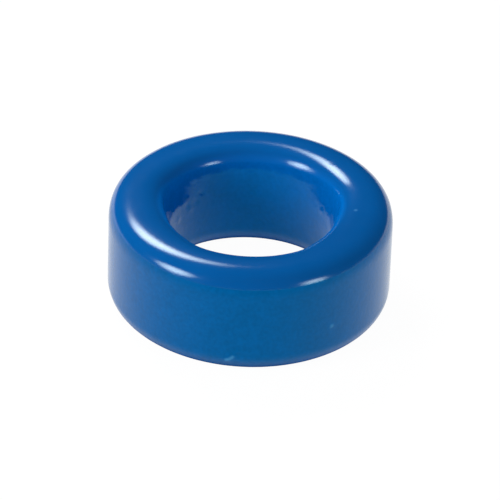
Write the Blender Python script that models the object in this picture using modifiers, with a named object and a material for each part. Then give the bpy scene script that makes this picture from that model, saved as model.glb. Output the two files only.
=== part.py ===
"""Coated ferrite ring core, the closed magnetic core of a choke or small transformer.

The real core is one pressed and fired ferrite ring under one coat of blue epoxy, so it is
one turned solid here, at its finished size over the coat. Units are metres and +Z is up.
The ring stands on its lower face, and the origin is the centre of that face.
"""

import math

import bpy

# Finished sizes over the coat. The bore is what the wall leaves, 19.5 mm across.
OUTER_DIAMETER = 0.0310
WALL = 0.00575
HEIGHT = 0.0126

# Rounding of the section's corners, where the coat draws back from the pressed edge
OUTER_EDGE_RADIUS = 0.0023
INNER_EDGE_RADIUS = 0.0023

# Width that each flat face and straight wall keeps when the roundings are too big for the section
LEAST_FLAT = 0.0002

# Flats in one turn of the ring and in the quarter circle of one rounded edge
TURN_STEPS = 96
EDGE_STEPS = 6

# Far below the shortest flat, so that only the seam of the turn closes
SEAM_MERGE = 0.000001

COAT_COLOUR = (0.002, 0.114, 0.400, 1.0)
COAT_ROUGHNESS = 0.2
COAT_METALLIC = 0.0


def clear_scene():
    for obj in list(bpy.data.objects):
        bpy.data.objects.remove(obj, do_unlink=True)


def coat_material():
    """Smooth blue epoxy, thick enough to hide the dark ferrite."""
    material = bpy.data.materials.new("blue_epoxy_coat")
    material.use_nodes = True
    shader = material.node_tree.nodes["Principled BSDF"]
    shader.inputs["Base Color"].default_value = COAT_COLOUR
    shader.inputs["Roughness"].default_value = COAT_ROUGHNESS
    shader.inputs["Metallic"].default_value = COAT_METALLIC
    material.diffuse_color = COAT_COLOUR
    return material


def edge_radii():
    """The outer and inner edge radii, made smaller together where the section can't hold them."""
    side_by_side = (WALL - LEAST_FLAT) / (OUTER_EDGE_RADIUS + INNER_EDGE_RADIUS)
    one_over_other = (HEIGHT - LEAST_FLAT) / (2 * max(OUTER_EDGE_RADIUS, INNER_EDGE_RADIUS))
    share = min(1.0, side_by_side, one_over_other)
    return share * OUTER_EDGE_RADIUS, share * INNER_EDGE_RADIUS


def quarter_circle(centre_x, centre_z, radius, start_degrees):
    """Points of a corner's rounding, clockwise from the start angle, in the X-Z plane."""
    points = []
    for step in range(EDGE_STEPS + 1):
        angle = math.radians(start_degrees - 90 * step / EDGE_STEPS)
        points.append((centre_x + radius * math.cos(angle), 0.0, centre_z + radius * math.sin(angle)))
    return points


def ring_section():
    """The rounded rectangle at +X, down its outer wall and back up along the bore."""
    outer_edge, inner_edge = edge_radii()
    outer_radius = OUTER_DIAMETER / 2
    bore_radius = outer_radius - WALL
    outer_x = outer_radius - outer_edge
    inner_x = bore_radius + inner_edge
    return (
        quarter_circle(outer_x, HEIGHT - outer_edge, outer_edge, 90)
        + quarter_circle(outer_x, outer_edge, outer_edge, 0)
        + quarter_circle(inner_x, inner_edge, inner_edge, -90)
        + quarter_circle(inner_x, HEIGHT - inner_edge, inner_edge, 180)
    )


def turned_ring(name, section, collection):
    """One solid from a closed section, turned once round Z."""
    count = len(section)
    mesh = bpy.data.meshes.new(name)
    mesh.from_pydata(section, [(i, (i + 1) % count) for i in range(count)], [])
    ring = bpy.data.objects.new(name, mesh)
    collection.objects.link(ring)
    turn = ring.modifiers.new("turn", "SCREW")
    turn.axis = "Z"
    turn.angle = 2 * math.pi
    turn.steps = TURN_STEPS
    turn.render_steps = TURN_STEPS
    turn.use_merge_vertices = True
    turn.merge_threshold = SEAM_MERGE
    turn.use_smooth_shade = True
    # Large faces lead the shading, so the flats look flat right up to the rounded edges
    ring.modifiers.new("flat_faces_lead", "WEIGHTED_NORMAL")
    return ring


def main():
    clear_scene()
    collection = bpy.data.collections.new("coated_ferrite_ring_core")
    bpy.context.scene.collection.children.link(collection)
    ring = turned_ring("ferrite_ring", ring_section(), collection)
    ring.data.materials.append(coat_material())


main()
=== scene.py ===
# %% [markdown]
# # A ring core in blue epoxy
#
# The object is a small ferrite ring, 31 mm across, that a winding or a cable passes through.
# Its grey ferrite is never seen: the whole ring wears one coat of blue epoxy, thick enough
# to round every edge and glossy enough to mirror the lamps. This notebook opens the packed
# CAD model, models the coated ring again with finer curves and the coat's own unevenness,
# and then gives it a finish, a floor, soft lamps and a camera.

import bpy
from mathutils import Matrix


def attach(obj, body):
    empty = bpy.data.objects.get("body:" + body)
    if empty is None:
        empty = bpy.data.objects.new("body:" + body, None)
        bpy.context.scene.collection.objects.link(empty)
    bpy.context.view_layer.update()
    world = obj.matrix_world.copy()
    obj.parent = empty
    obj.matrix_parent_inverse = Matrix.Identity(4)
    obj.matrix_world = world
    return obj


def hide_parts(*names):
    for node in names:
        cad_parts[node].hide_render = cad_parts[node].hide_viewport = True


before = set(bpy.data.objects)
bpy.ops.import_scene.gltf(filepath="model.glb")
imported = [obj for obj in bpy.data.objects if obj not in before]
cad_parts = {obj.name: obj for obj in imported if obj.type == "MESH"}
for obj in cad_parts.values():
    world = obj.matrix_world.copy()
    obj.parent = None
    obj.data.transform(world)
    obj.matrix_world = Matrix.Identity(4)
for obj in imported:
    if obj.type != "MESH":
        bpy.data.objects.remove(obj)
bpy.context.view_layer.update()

# %% [markdown]
# ## Measures
#
# The CAD ring gives every size, so that the new ring lies exactly where the solid does.
# Each corner of its mesh has a distance from the axis and a height, and those two numbers
# hold the whole section: the widest and narrowest distance, the top, and the narrow flat
# band on the top face, where the rounded edges leave off.

# %% Read the ring's measures off the CAD mesh
MICRON = 0.000001
MILLIMETRE = 0.001

cad_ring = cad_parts["ferrite_ring"]
corners = [(corner.co.xy.length, corner.co.z) for corner in cad_ring.data.vertices]
outer_radius = max(radius for radius, height in corners)
bore_radius = min(radius for radius, height in corners)
ring_height = max(height for radius, height in corners)
flat_band = [radius for radius, height in corners if ring_height - height < MICRON]
edge_radius = outer_radius - max(flat_band)
wall = outer_radius - bore_radius
for name, length in (
    ("outer radius", outer_radius),
    ("bore radius", bore_radius),
    ("height", ring_height),
    ("edge radius", edge_radius),
):
    print(f"{name}: {length / MILLIMETRE:.2f} mm")

# %% [markdown]
# ## The section
#
# Cut through, one side of the ring is an upright rectangle with four well rounded corners,
# the shape that a pressed ring has once the epoxy has drawn itself round its edges. It could
# be a Bezier curve with a Screw, but a plane shows each step. It is added upright in the
# middle of the wall and pulled to the wall's width and height, and its place and turn are
# applied, so that each point's own numbers are its place in the room.

# %% Set up the section's rectangle
import math

import bmesh
import bpy


def edit(piece, pick="VERT"):
    """Open one piece in edit mode with nothing selected, and return its editable mesh."""
    bpy.ops.object.mode_set(mode="OBJECT")
    bpy.ops.object.select_all(action="DESELECT")
    piece.select_set(True)
    bpy.context.view_layer.objects.active = piece
    bpy.ops.object.mode_set(mode="EDIT")
    bpy.ops.mesh.select_mode(type=pick)
    bpy.ops.mesh.select_all(action="DESELECT")
    return bmesh.from_edit_mesh(piece.data)


bpy.context.view_layer.objects.active = cad_ring
bpy.ops.object.select_all(action="DESELECT")
middle_of_wall = (outer_radius + bore_radius) / 2
bpy.ops.mesh.primitive_plane_add(
    size=1, location=(middle_of_wall, 0, ring_height / 2), rotation=(math.pi / 2, 0, 0)
)
coated_ring = bpy.context.object
coated_ring.name = coated_ring.data.name = "coated_ring"
edit(coated_ring)
bpy.ops.mesh.select_all(action="SELECT")
bpy.ops.transform.resize(value=(wall, 1, ring_height))
bpy.ops.object.mode_set(mode="OBJECT")
bpy.ops.object.transform_apply(location=True, rotation=True, scale=True)
print("section:", [round(side / MILLIMETRE, 2) for side in coated_ring.dimensions], "mm")

# %% [markdown]
# The four corners are rounded by a bevel on their points. While it is wet, the epoxy on the
# top is pulled into a low crown, so the top edges don't end at a flat: they start almost at
# the middle of the wall, gently, and turn faster further out. A bevel whose profile is over
# one half does that, because it is fuller than a circle. The foot, which rested on
# something, keeps plain round edges and a flat between them.

# %% Round the corners
CORNER_STEPS = 16
CROWN_FLAT = 0.05 * MILLIMETRE
CROWN_PROFILE = 0.587
ROUND_PROFILE = 0.5

crown_reach = (wall - CROWN_FLAT) / 2
for level, reach, profile in (
    (ring_height, crown_reach, CROWN_PROFILE),
    (0, edge_radius, ROUND_PROFILE),
):
    outline = edit(coated_ring)
    for corner in outline.verts:
        corner.select_set(abs(corner.co.z - level) < MICRON)
    bpy.ops.mesh.bevel(offset=reach, segments=CORNER_STEPS, affect="VERTICES", profile=profile)
bpy.ops.mesh.select_all(action="SELECT")
bpy.ops.mesh.delete(type="ONLY_FACE")
outline = bmesh.from_edit_mesh(coated_ring.data)
print("points on the outline:", len(outline.verts))

# %% [markdown]
# The corners now have close points, but the two walls and the foot are still long edges.
# The coat's waves need points to move there too, so each is cut into short ones of about
# the corners' own step. The sides of one length are picked together.

# %% Cut the straight sides short
CELL = edge_radius * math.pi / 2 / CORNER_STEPS

for side_length in (ring_height - crown_reach - edge_radius, wall - 2 * edge_radius):
    outline = edit(coated_ring, "EDGE")
    for side in outline.edges:
        side.select_set(abs(side.calc_length() - side_length) < 10 * MICRON)
    bpy.ops.mesh.subdivide(number_cuts=round(side_length / CELL) - 1)
outline = edit(coated_ring)
print("points on the outline:", len(outline.verts))

# %% [markdown]
# The coat is a little thicker half way down the bore, since wet epoxy draws back from edges.
# The points in the middle of the bore's wall are pushed in, and proportional editing makes
# one long shallow belly of it. It is hardly seen itself, but it decides how far up the bore
# the white sheet is mirrored.

# %% Give the bore's wall a belly
BELLY = 0.12 * MILLIMETRE
BELLY_HEIGHT = 5.5 * MILLIMETRE
BELLY_REACH = 4.5 * MILLIMETRE

outline = edit(coated_ring)
for corner in outline.verts:
    on_bore = corner.co.x - bore_radius < MICRON
    corner.select_set(on_bore and abs(corner.co.z - BELLY_HEIGHT) < 2 * CELL)
bpy.ops.transform.translate(
    value=(-BELLY, 0, 0),
    use_proportional_edit=True,
    use_proportional_connected=True,
    proportional_edit_falloff="SMOOTH",
    proportional_size=BELLY_REACH,
)
outline = bmesh.from_edit_mesh(coated_ring.data)
nearest = min(corner.co.x for corner in outline.verts)
print("nearest to the axis:", round(nearest / MILLIMETRE, 2), "mm")

# %% [markdown]
# ## The turn
#
# Spin carries the outline once round the upright axis, as a potter's template would. The
# last outline falls on the first, so doubles are merged, and the normals are worked out
# again because a spin can leave the skin inside out. The ring is closed if no edge is left
# with a single face. A spin also writes its edges and faces in another order each time, and
# proportional editing measures along them, so they are sorted by the numbers of their
# corners. That gives the same ring in each run.

# %% Turn the outline round the axis
TURN_STEPS = 440


def by_corners(part):
    """The place of an edge or a face in the order, from its first and last corner."""
    numbers = [corner.index for corner in part.verts]
    return min(numbers) * corner_count + max(numbers)


edit(coated_ring)
bpy.ops.mesh.select_all(action="SELECT")
bpy.ops.mesh.spin(steps=TURN_STEPS, angle=2 * math.pi, center=(0, 0, 0), axis=(0, 0, 1))
bpy.ops.mesh.select_all(action="SELECT")
bpy.ops.mesh.remove_doubles(threshold=10 * MICRON)
bpy.ops.mesh.normals_make_consistent(inside=False)
skin = bmesh.from_edit_mesh(coated_ring.data)
corner_count = len(skin.verts)
skin.verts.index_update()
skin.edges.sort(key=by_corners)
skin.faces.sort(key=by_corners)
print("open edges:", sum(edge.is_boundary for edge in skin.edges))
bpy.ops.object.mode_set(mode="OBJECT")
bpy.ops.object.shade_smooth()
print("faces:", len(coated_ring.data.polygons))

# %% [markdown]
# ## Two swellings at the mouth of the bore
#
# The hole isn't quite round: at the front left and the front right the coat has gathered in
# two soft swellings, and the near rim is narrower there. The bore's corners at those two
# places are pressed together in four light strokes. Each stroke has the bearings where it
# starts and ends, in degrees to either side of the front, and is a little shorter than the
# one before. Proportional editing lets the crown and the rest of the bore follow with less
# and less of the move, so that no crease shows. One column of corners stands at exactly 90
# degrees, so the bearings are rounded, and no last digit decides whether it is picked.

# %% Press the two swellings in
SWELLING_PRESS = 0.928
SWELLING_STROKES = ((40, 98), (43, 90), (46, 82), (49, 75))
SWELLING_BAND = 0.5 * MILLIMETRE
SWELLING_REACH = 3.0 * MILLIMETRE
BEARING_DIGITS = 3

stroke_press = SWELLING_PRESS ** (1 / len(SWELLING_STROKES))
for start, end in SWELLING_STROKES:
    skin = edit(coated_ring)
    for corner in skin.verts:
        bearing = math.degrees(math.atan2(corner.co.x, -corner.co.y))
        to_side = round(abs(bearing), BEARING_DIGITS)
        in_mouth = corner.co.xy.length < bore_radius + SWELLING_BAND
        corner.select_set(in_mouth and start < to_side < end)
    bpy.ops.transform.resize(
        value=(stroke_press, 1, 1),
        center_override=(0, 0, 0),
        use_proportional_edit=True,
        use_proportional_connected=True,
        proportional_edit_falloff="SMOOTH",
        proportional_size=SWELLING_REACH,
    )
skin = bmesh.from_edit_mesh(coated_ring.data)
nearest = min(corner.co.xy.length for corner in skin.verts)
bpy.ops.object.mode_set(mode="OBJECT")
print("nearest to the axis:", round(nearest / MILLIMETRE, 2), "mm")

# %% [markdown]
# ## Waves in the coat
#
# Epoxy that flows before it sets is never quite even: the ring's walls and edges swell and
# sink by a few hundredths of a millimetre over a few millimetres, and that is what bends the
# lamps' reflections. A Displace modifier with a cloud texture makes such a surface. Its
# middle level is 1, so that it only sinks and the ring never grows past its measures. It
# fades out at the foot, which has to stay flat to stand on.

# %% Let the coat swell and sink
SWELL_DEPTH = 0.03 * MILLIMETRE
SWELL_LENGTH = 6 * MILLIMETRE


def where(piece, name, weigh):
    """Name a vertex group whose weight at each corner comes from that corner's place."""
    group = piece.vertex_groups.new(name=name)
    for corner in piece.data.vertices:
        group.add([corner.index], max(0, min(1, weigh(corner.co))), "REPLACE")
    return group


def sink(piece, name, depth, length, group):
    """Press clouds of one length into a piece, no deeper than the depth, and apply them."""
    clouds = bpy.data.textures.new(name, type="CLOUDS")
    clouds.noise_basis = "IMPROVED_PERLIN"
    clouds.noise_scale = length
    clouds.noise_depth = 1
    waves = piece.modifiers.new(name, "DISPLACE")
    waves.texture = clouds
    waves.texture_coords = "LOCAL"
    waves.mid_level = 1
    waves.strength = depth
    waves.vertex_group = group.name
    bpy.context.view_layer.objects.active = piece
    bpy.ops.object.modifier_apply(modifier=waves.name)


above_foot = where(coated_ring, "above_foot", lambda spot: 2 * spot.z / edge_radius)
sink(coated_ring, "coat_swell", SWELL_DEPTH, SWELL_LENGTH, above_foot)
print("widest after the swell:", round(coated_ring.dimensions.x / MILLIMETRE, 3), "mm")

# %% [markdown]
# In the bore the coat is rougher, because it dries there last and runs together in lumps
# about a millimetre wide. The same modifier does it with a finer cloud, and a vertex group
# keeps it to the bore's own wall.

# %% Roughen the bore
LUMP_DEPTH = 0.05 * MILLIMETRE
LUMP_LENGTH = 1.3 * MILLIMETRE
BORE_FADE = 0.8 * MILLIMETRE


def in_bore(spot):
    """One on the bore's straight wall, fading out over the rounded edges."""
    off_wall = spot.xy.length - bore_radius
    return (1 - off_wall / BORE_FADE) * min(1, 2 * spot.z / edge_radius)


bore_wall = where(coated_ring, "bore_wall", in_bore)
sink(coated_ring, "bore_lumps", LUMP_DEPTH, LUMP_LENGTH, bore_wall)
nearest = min(corner.co.xy.length for corner in coated_ring.data.vertices)
print("nearest to the axis, with lumps:", round(nearest / MILLIMETRE, 2), "mm")

# %% [markdown]
# ## Small marks
#
# A dipped ring carries a few small marks: a nib at the foot where the last drop was pulled
# off, pips of dust under the coat, and lumps in the bore. Each is a line of places, then how
# far its slope reaches and how high it rises, in millimetres. A place has its bearing round
# the ring in degrees, its distance from the axis and its height. The corners nearest to that
# line are picked and lifted together along the surface's normal, and proportional editing
# draws the skin round them up into a smooth little hill, or down into a dent.

# %% Raise the marks
from mathutils import Matrix, Vector

MARKS = {
    "nib at the foot": (((-7.8, 15.45, 1.86), (-6.5, 15.47, 1.97), (-4.7, 15.50, 2.45)), 0.40, 0.06),
    "tail of the nib": (((-4.2, 15.50, 2.75), (-3.0, 15.50, 3.25)), 0.35, 0.03),
    "pip on the wall": (((35.9, 15.50, 4.81),), 0.50, 0.04),
    "pip on the top": (((82.3, 11.43, 12.52),), 0.40, 0.03),
    "pip at the back": (((132.7, 12.47, 12.60),), 0.40, 0.01),
    "dent at the back": (((131.6, 11.84, 12.59),), 0.40, -0.03),
    "lump in the bore": (((125.7, 9.75, 7.44),), 0.60, 0.06),
    "ridge over the bore": (
        ((-97.4, 9.95, 11.25), (-93.0, 9.92, 11.18), (-86.0, 10.03, 11.41)), 0.40, 0.04,
    ),
    "notch 1": (((-145.3, 9.75, 8.00),), 0.60, -0.05),
    "notch 2": (((-141.0, 9.75, 7.07),), 0.70, -0.05),
    "notch 3": (((-132.3, 9.75, 7.03),), 0.60, -0.05),
    "bead 1": (((-132.8, 9.75, 8.00),), 0.60, 0.05),
    "bead 2": (((-135.5, 9.75, 6.27),), 0.60, 0.05),
    "bead 3": (((-124.5, 9.75, 5.82),), 0.60, 0.05),
}


def on_ring(bearing, radius, height):
    """A place on the ring: its bearing in degrees from the front, the rest in millimetres."""
    turned = math.radians(bearing)
    return Vector((radius * math.sin(turned), -radius * math.cos(turned), height)) * MILLIMETRE


def along(places):
    """Points closer than a cell along the line through the places."""
    points = [on_ring(*places[0])]
    for before, after in zip(places, places[1:]):
        start, end = on_ring(*before), on_ring(*after)
        steps = math.ceil((end - start).length / CELL * 2)
        points += [start.lerp(end, step / steps) for step in range(1, steps + 1)]
    return points


for name, (places, reach, rise) in MARKS.items():
    skin = edit(coated_ring)
    line = along(places)
    middle = sum(line, Vector()) / len(line)
    span = max((point - middle).length for point in line) + 2 * CELL
    near = [corner for corner in skin.verts if (corner.co - middle).length < span]
    nearest_to = [min(near, key=lambda corner: (corner.co - point).length) for point in line]
    picked = list(dict.fromkeys(nearest_to))
    lift = sum((corner.normal for corner in picked), Vector()).normalized()
    for corner in picked:
        corner.select_set(True)
    bpy.ops.transform.translate(
        value=lift * rise * MILLIMETRE,
        use_proportional_edit=True,
        use_proportional_connected=True,
        proportional_edit_falloff="SMOOTH",
        proportional_size=reach * MILLIMETRE,
    )
    print(f"{name}: {len(picked)} corners lifted by {rise} mm")
bpy.ops.object.mode_set(mode="OBJECT")

# %% [markdown]
# ## Its place in the model
#
# The new ring rides on the model's one body and stands for the CAD ring, which is hidden.
# Its finish is made below.

# %% Tie the ring to the model
coated_ring.vertex_groups.clear()
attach(coated_ring, "root")
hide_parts("ferrite_ring")
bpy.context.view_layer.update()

# %% [markdown]
# ## Sums that make nodes
#
# A material's nodes are easier to read as sums than as wires. This class holds one socket.
# Adding, subtracting or multiplying it makes the Math node, on either side of a number, and
# `node` makes any other node from its settings and what goes into its sockets.


# %% A socket that can be reckoned with
class Wire:
    """One socket of a node tree, which takes part in sums as a number does."""

    def __init__(self, tree, socket=None):
        self.tree = tree
        self.socket = socket

    def node(self, kind, settings=None, inputs=None):
        """Add a node, make its settings, then fill its sockets with values or wires."""
        made = self.tree.nodes.new("ShaderNode" + kind)
        for name, value in (settings or {}).items():
            setattr(made, name, value)
        for name, value in (inputs or {}).items():
            if isinstance(value, Wire):
                self.tree.links.new(value.socket, made.inputs[name])
            else:
                made.inputs[name].default_value = value
        return Wire(self.tree, made.outputs[0] if made.outputs else None)

    def output(self, name):
        """Another output of the node that this wire leaves."""
        return Wire(self.tree, self.socket.node.outputs[name])

    def reckon(self, operation, first, second):
        """A Math node on two numbers or wires."""
        return self.node("Math", {"operation": operation}, {0: first, 1: second})

    def __add__(self, other):
        return self.reckon("ADD", self, other)

    def __radd__(self, other):
        return self.reckon("ADD", other, self)

    def __sub__(self, other):
        return self.reckon("SUBTRACT", self, other)

    def __rsub__(self, other):
        return self.reckon("SUBTRACT", other, self)

    def __mul__(self, other):
        return self.reckon("MULTIPLY", self, other)

    def __rmul__(self, other):
        return self.reckon("MULTIPLY", other, self)


def empty_tree(owner):
    """The cleared node tree of a material or a world, as a wire to build from."""
    owner.use_nodes = True
    owner.node_tree.nodes.clear()
    return Wire(owner.node_tree)


# %% [markdown]
# ## The blue epoxy
#
# The coat is one deep blue all over, but it isn't one sheen. The crown on top is smooth and
# mirrors each lamp almost white. Down on the walls the same epoxy reflects the white sheet
# that it stands on, and there it stays blue. So the material needs to know how high up the
# ring a point is: `on_wall` is one on the walls and falls to zero over a short way, a little
# below the place where the lamps' reflections begin. That place dips towards the front and
# the back, so the height is raised by a share of how near a point is to either.

# %% How high up the ring a point is
SHEEN_FROM = 11.42 * MILLIMETRE
SHEEN_TO = 11.72 * MILLIMETRE
SHEEN_DIP = 0.58 * MILLIMETRE

epoxy = bpy.data.materials.new("blue_epoxy")
coat = empty_tree(epoxy)
place = coat.node("TexCoord").output("Object")
apart = coat.node("SeparateXYZ", None, {"Vector": place})
sideways, inward, level = (apart.output(axis) for axis in "XYZ")
off_side = coat.node("Math", {"operation": "ABSOLUTE"}, {0: sideways})
off_front = coat.node("Math", {"operation": "ABSOLUTE"}, {0: inward})
flat_place = coat.node("VectorMath", {"operation": "MULTIPLY"}, {0: place, 1: (1.0, 1.0, 0.0)})
from_axis = coat.node("VectorMath", {"operation": "LENGTH"}, {0: flat_place}).output("Value")


def rising(value, start, end):
    """Zero below the start, one above the end, and a smooth step between them."""
    return coat.node("MapRange", {"interpolation_type": "SMOOTHSTEP"}, {
        "Value": value,
        "From Min": start,
        "From Max": end,
    })


dipped_level = level + coat.reckon("DIVIDE", off_front, from_axis) * SHEEN_DIP
on_wall = 1 - rising(dipped_level, SHEEN_FROM, SHEEN_TO)
print(f"the crown's sheen starts {(ring_height - SHEEN_TO) / MILLIMETRE:.2f} mm below the top")

# %% [markdown]
# Looked at closely, the walls are faintly blotched, because the coat is thinner over the
# grain of the pressed ferrite. One soft noise of about a millimetre gives the blotches, and
# one of a third of that the grain. Both fade out on the crown, and a wider noise lets the
# whole blue drift a little. The walls are darkened a shade against the crown, which is
# painted shade for the light that reaches them less. The bore is lightened, which is painted
# light for the glow that fills it. Whatever faces right, outside or in the bore, is lightened
# too, which is painted light from the right. A noise lies about one half, so one half is taken off.

# %% The colour, with painted shade and painted light
COAT_BLUE = (0.0, 0.105, 0.38)
NOISE_MIDDLE = 0.5
BLOTCH, BLOTCH_SHARE = 1.3 * MILLIMETRE, 0.14
GRAIN, GRAIN_SHARE = 0.4 * MILLIMETRE, 0.26
DRIFT, DRIFT_SHARE = 5 * MILLIMETRE, 0.10
# The next two shares are painted shade on the walls and painted light on what faces right
WALL_PAINTED_SHADE = 0.16
RIGHT_PAINTED_LIGHT = 0.24
# This share is painted light in the bore
BORE_PAINTED_LIGHT = 0.36
HOLLOW_FROM = bore_radius + 0.2 * MILLIMETRE
HOLLOW_TO = bore_radius + BORE_FADE


def noise(length, detail):
    """A soft noise whose patches are about as wide as the length."""
    return coat.node("TexNoise", None, {"Vector": place, "Scale": 1 / length, "Detail": detail})


hollow = 1 - rising(from_axis, HOLLOW_FROM, HOLLOW_TO)
blotches = noise(BLOTCH, 0.5)
grain = noise(GRAIN, 0.5)
drift = noise(DRIFT, 1.0)
# Mask of painted light: what faces right, outside or in the bore
painted_light_mask_right = coat.reckon("MAXIMUM", sideways * (1 - hollow * 2), 0)
tone = 1 + (blotches - NOISE_MIDDLE) * on_wall * BLOTCH_SHARE + (drift - NOISE_MIDDLE) * DRIFT_SHARE
tone = tone + (grain - NOISE_MIDDLE) * on_wall * GRAIN_SHARE
# Painted light on what faces right
tone = tone + painted_light_mask_right * on_wall * (RIGHT_PAINTED_LIGHT / outer_radius)
# Painted shade on the walls and painted light in the bore
tone = tone - on_wall * WALL_PAINTED_SHADE + hollow * BORE_PAINTED_LIGHT
blue = coat.node("VectorMath", {"operation": "SCALE"}, {0: COAT_BLUE, "Scale": tone})
print("the bore's tone against the crown's:", round(1 - WALL_PAINTED_SHADE + BORE_PAINTED_LIGHT, 2))

# %% [markdown]
# The nib and two of the pips get painted highlights: a pale blue stands in for the glints
# that their small hills catch. Each of their places gets a small round mask from its
# distance, and the masks add a pale blue.

# %% Painted highlights at the marks
# The pale blue of the painted highlights at the nib and two pips
PAINTED_GLINT = (0.035, 0.11, 0.15)
GLINT_REACH = 0.85
GLINT_STEP = 3

painted_glints = 0
for name in ("nib at the foot", "pip on the wall", "pip on the top"):
    places, reach, rise = MARKS[name]
    for spot in along(places)[::GLINT_STEP]:
        gap = coat.node("VectorMath", {"operation": "DISTANCE"}, {0: place, 1: spot})
        glint_spot = 1 - rising(gap.output("Value"), 0, reach * GLINT_REACH * MILLIMETRE)
        painted_glints = painted_glints + glint_spot
    print(f"{name}: pale within {reach * GLINT_REACH:.2f} mm")
# Painted highlights added to the blue
pale = coat.node("VectorMath", {"operation": "SCALE"}, {0: PAINTED_GLINT, "Scale": painted_glints})
blue = coat.node("VectorMath", {"operation": "ADD"}, {0: blue, 1: pale})

# %% [markdown]
# Two Principled shaders share that blue. Both are smooth, and they differ in what they
# reflect: the crown's reflections are strong and nearly white, and the walls' are weaker and
# blue green. The grain is a faint relief on the walls too. A Mix Shader passes from one
# shader to the other by `on_wall`.

# %% The two sheens
ROUGH, ROUGH_SHARE = 0.15, 0.04
CROWN_IOR = 1.6
WALL_IOR = 1.5
CROWN_TINT = (0.75, 0.93, 1.0, 1.0)
WALL_TINT = (0.0, 0.66, 0.80, 1.0)
RELIEF = 0.012 * MILLIMETRE

roughness = ROUGH + (blotches - NOISE_MIDDLE) * ROUGH_SHARE
relief = coat.node("Bump", None, {
    "Strength": 1.0,
    "Distance": RELIEF,
    "Height": grain * on_wall,
})


def sheen(strength, tint):
    """A Principled shader of the coat whose reflections have one strength and tint."""
    return coat.node("BsdfPrincipled", None, {
        "Base Color": blue,
        "Roughness": roughness,
        "IOR": strength,
        "Normal": relief,
        "Specular Tint": tint,
    })


crown_sheen = sheen(CROWN_IOR, CROWN_TINT)
wall_sheen = sheen(WALL_IOR, WALL_TINT)
polished = coat.node("MixShader", None, {0: on_wall, 1: crown_sheen, 2: wall_sheen})

# %% [markdown]
# Two places are matt. The round edge at the foot is, because the coat dried there against
# the rack, and without that it would mirror the white sheet at a glancing angle and wear a
# pale line all round. So is the upper wall at the bore's two sides, between the haze that
# the sheet leaves there and the crown. Its lower edge is ragged, so the blotches move it up
# and down. The matt shader has the same blue and mirrors nothing, and is let in at both.

# %% The matt foot and mouth
MATT_ROUGH = 0.6
MATT_SHINE = 0.0
FOOT_FADE = (0.3 * edge_radius, 0.85 * edge_radius)
HAZE_FADE = (7.6 * MILLIMETRE, 8.2 * MILLIMETRE)
CROWN_FADE = (10.6 * MILLIMETRE, 11.0 * MILLIMETRE)
SIDE_FADE = (6.2 * MILLIMETRE, 7.8 * MILLIMETRE)
RAGGED = 2.5 * MILLIMETRE

near_foot = 1 - rising(level, *FOOT_FADE)
above_haze = rising(level + (blotches - NOISE_MIDDLE) * RAGGED, *HAZE_FADE)
below_crown = 1 - rising(level, *CROWN_FADE)
at_sides = rising(off_side, *SIDE_FADE)
mouth = above_haze * below_crown * at_sides * hollow
matt = coat.node("BsdfPrincipled", None, {
    "Base Color": blue,
    "Roughness": MATT_ROUGH,
    "Specular IOR Level": MATT_SHINE,
})
surface = coat.node("MixShader", None, {0: near_foot + mouth, 1: polished, 2: matt})
coat.node("OutputMaterial", None, {"Surface": surface})
coated_ring.data.materials.clear()
coated_ring.data.materials.append(epoxy)
print("nodes in the coat:", len(epoxy.node_tree.nodes))

# %% [markdown]
# ## The white sheet
#
# The ring stands on a white sheet that glows a little, as on a light table, which is what
# keeps the walls from going dark towards the foot. For the camera and for reflections the
# sheet is nearly all glow, so that it is white right to the picture's edge and only a soft
# trace of the ring's shadow is left. The light that it throws on the ring is set apart, and
# is weaker, so that the walls keep a deep blue. The Light Path node tells the two apart.

# %% Lay the sheet
SHEET_SIDE = 12.0
PAPER, PAPER_GLOW = 0.20, 0.40
SEEN_PAPER, SEEN_GLOW = 0.05, 0.97

bpy.ops.object.select_all(action="DESELECT")
bpy.ops.mesh.primitive_plane_add(size=SHEET_SIDE, location=(0, 0, 0))
floor = bpy.context.object
floor.name = floor.data.name = "floor"
white_sheet = bpy.data.materials.new("white_sheet")
sheet = empty_tree(white_sheet)


def seen_in(tree):
    """One for what the camera sees, straight or by reflection, and zero for other light."""
    rays = tree.node("LightPath")
    mirrored = tree.reckon("MAXIMUM", rays.output("Is Glossy Ray"), rays.output("Is Transmission Ray"))
    return tree.reckon("MAXIMUM", rays.output("Is Camera Ray"), mirrored)


def glowing_paper(paper, glow):
    """Matt paper with some light of its own."""
    return sheet.node("AddShader", None, {
        0: sheet.node("BsdfDiffuse", None, {"Color": (paper, paper, paper, 1.0)}),
        1: sheet.node("Emission", None, {"Strength": glow}),
    })


sheet.node("OutputMaterial", None, {
    "Surface": sheet.node("MixShader", None, {
        0: seen_in(sheet),
        1: glowing_paper(PAPER, PAPER_GLOW),
        2: glowing_paper(SEEN_PAPER, SEEN_GLOW),
    }),
})
floor.data.materials.append(white_sheet)
print("sheet:", SHEET_SIDE, "m wide")

# %% [markdown]
# ## The room
#
# Round the table the room is dim and grey, and its even light fills the sides that no lamp
# reaches. It is also what the crown mirrors between the lamps, and there it has to be nearly
# black for the blue to be deep. So the world has two strengths, told apart in the same way
# as the sheet's: one for the light that falls on things and one for what is seen.

# %% Dim the room
ROOM_FILL = 0.50
ROOM_SEEN = 0.012

room = bpy.data.worlds.new("room")
bpy.context.scene.world = room
walls = empty_tree(room)
strength = ROOM_FILL - seen_in(walls) * (ROOM_FILL - ROOM_SEEN)
walls.node("OutputWorld", None, {
    "Surface": walls.node("Background", None, {"Strength": strength}),
})
print(f"room: {ROOM_FILL} as light, {ROOM_SEEN} as seen")

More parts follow.
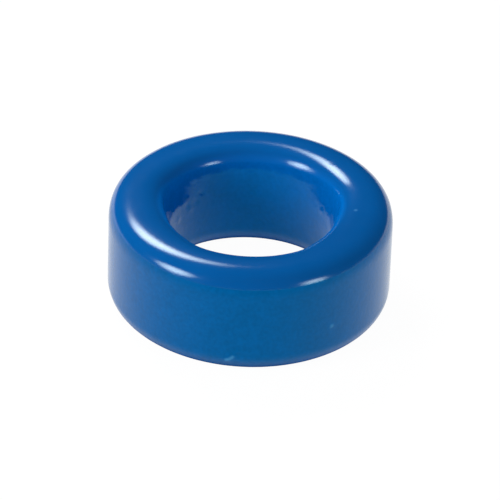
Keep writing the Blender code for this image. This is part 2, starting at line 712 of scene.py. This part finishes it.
# %% [markdown]
# ## The lamps
#
# The reflections tell where the lamps stood. The long ones on the left shoulder and on the
# right of the crown are one lamp behind the ring, the pair below and inside them is a
# second lamp at the left, and the two small ones are a third, low at the right. Each fades
# out from a bright middle, as a diffuser with a bulb behind it does. One area lamp has a hard
# rim, so each lamp is four discs of different sizes, one close before another. Each is given
# by where it stands, bearing and elevation in degrees and distance in metres, and by how
# wide and high it looks from the ring. Its power follows from its radiance and its area.

# %% Hang the lamps
DISCS = (1.4, 1.15, 0.9, 0.6)
DISC_GAP = 2 * MILLIMETRE

ring_middle = Vector((0, 0, ring_height / 2))


def soft_lamp(name, bearing, elevation, distance, width, height, radiance):
    """Aim one soft lamp at the ring. Width and height are angles at half its brightness."""
    around = math.radians(bearing)
    up = math.radians(elevation)
    away = Vector((
        math.sin(around) * math.cos(up), -math.cos(around) * math.cos(up), math.sin(up),
    ))
    for number, share in enumerate(DISCS, 1):
        bpy.ops.object.light_add(
            type="AREA",
            location=ring_middle + (distance - number * DISC_GAP) * away,
            rotation=away.to_track_quat("Z", "Y").to_euler(),
        )
        lamp = bpy.context.object
        lamp.name = lamp.data.name = f"{name}_{number}"
        disc = lamp.data
        disc.shape = "ELLIPSE"
        disc.size = share * 2 * distance * math.tan(math.radians(width / 2))
        disc.size_y = share * 2 * distance * math.tan(math.radians(height / 2))
        area = math.pi / 4 * disc.size * disc.size_y
        disc.energy = radiance / len(DISCS) * math.pi * area
    print(f"{name}: {distance / MILLIMETRE:.0f} mm away")


soft_lamp(
    "lamp_behind", bearing=-151.5, elevation=49.5, distance=0.17, width=24, height=16.5, radiance=14
)
soft_lamp(
    "lamp_left", bearing=-59, elevation=20.5, distance=0.35, width=24, height=23, radiance=12.5
)
soft_lamp(
    "lamp_right", bearing=49.5, elevation=6, distance=0.35, width=16, height=15, radiance=7.8
)

# %% [markdown]
# ## The camera
#
# A long lens looks down at the ring, a third of the way from level to straight down, from
# nearly half a metre away, which keeps the ring's ellipses even. The small roll and the small
# shift of the aim put the ring where the picture has it.

# %% Set up the camera
LENS = 305.64
CAMERA_ELEVATION = 33.61
CAMERA_DISTANCE = 0.46446
CAMERA_ROLL = 2.07
AIM_RIGHT = -0.025 * MILLIMETRE
AIM_DOWN = -0.372 * MILLIMETRE

bpy.ops.object.camera_add()
camera = bpy.context.object
camera.name = camera.data.name = "camera"
camera.data.lens = LENS
turn = (
    Matrix.Rotation(math.radians(90 - CAMERA_ELEVATION), 4, "X")
    @ Matrix.Rotation(math.radians(CAMERA_ROLL), 4, "Z")
)
back = turn @ Vector((-AIM_RIGHT, AIM_DOWN, CAMERA_DISTANCE))
camera.matrix_world = Matrix.Translation(ring_middle + back) @ turn
bpy.context.scene.camera = camera
bpy.context.scene.view_settings.view_transform = "Standard"
print(f"camera: {LENS:.0f} mm lens, {CAMERA_DISTANCE:.2f} m from the ring")
